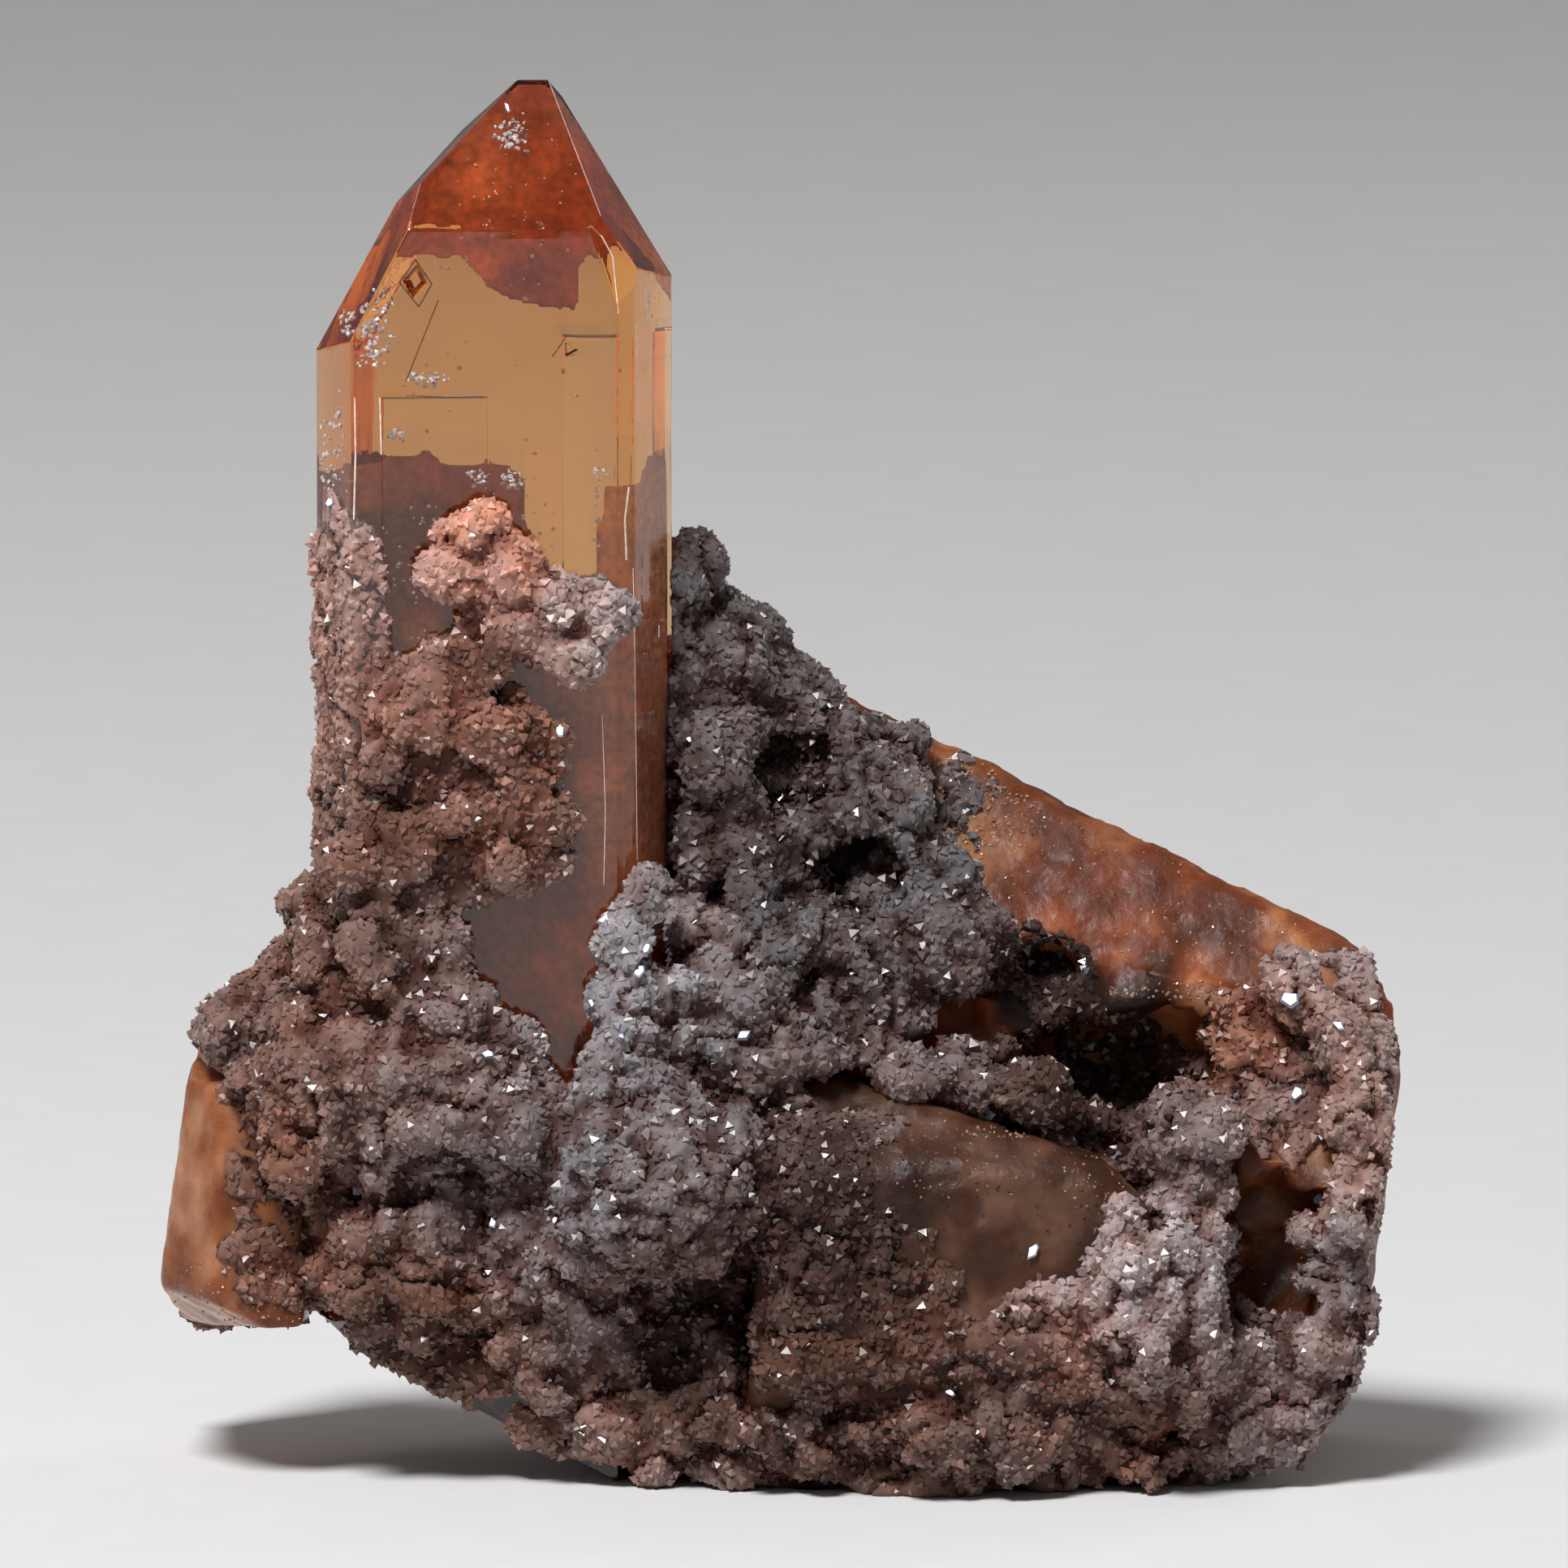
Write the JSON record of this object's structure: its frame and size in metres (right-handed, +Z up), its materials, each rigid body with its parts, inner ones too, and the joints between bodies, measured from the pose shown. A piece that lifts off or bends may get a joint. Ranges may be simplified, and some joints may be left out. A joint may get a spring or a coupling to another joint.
{
  "type": "topaz crystal group with drusy quartz",
  "caption": "Upright sherry topaz point with a big tilted topaz, a rounded slab and a corner crystal, held together by a sugary quartz crust and cut off flat below.",
  "frame": {"origin": "middle of the group's box, on the flat cut that it rests on", "axes": "+Z up along the upright crystal, front towards -Y, +X to the right"},
  "size_m": [0.0385, 0.0201, 0.043],
  "materials": {
    "golden_topaz": "clear sherry crystal with bright faces, fine striations and brown veils inside",
    "amber_topaz": "translucent orange-brown crystal, etched and broken in front",
    "brown_topaz": "cloudy brown crystal with a smooth rounded edge",
    "orange_topaz": "translucent orange crystal",
    "sugary_quartz": "sugary grey-lavender to pink-brown crust of tiny glinting crystals"
  },
  "bodies": {
    "root": {"upright_topaz": "golden_topaz", "tilted_topaz": "amber_topaz", "front_topaz": "brown_topaz", "corner_topaz": "orange_topaz", "quartz_druse": "sugary_quartz"}
  },
  "joints": []
}
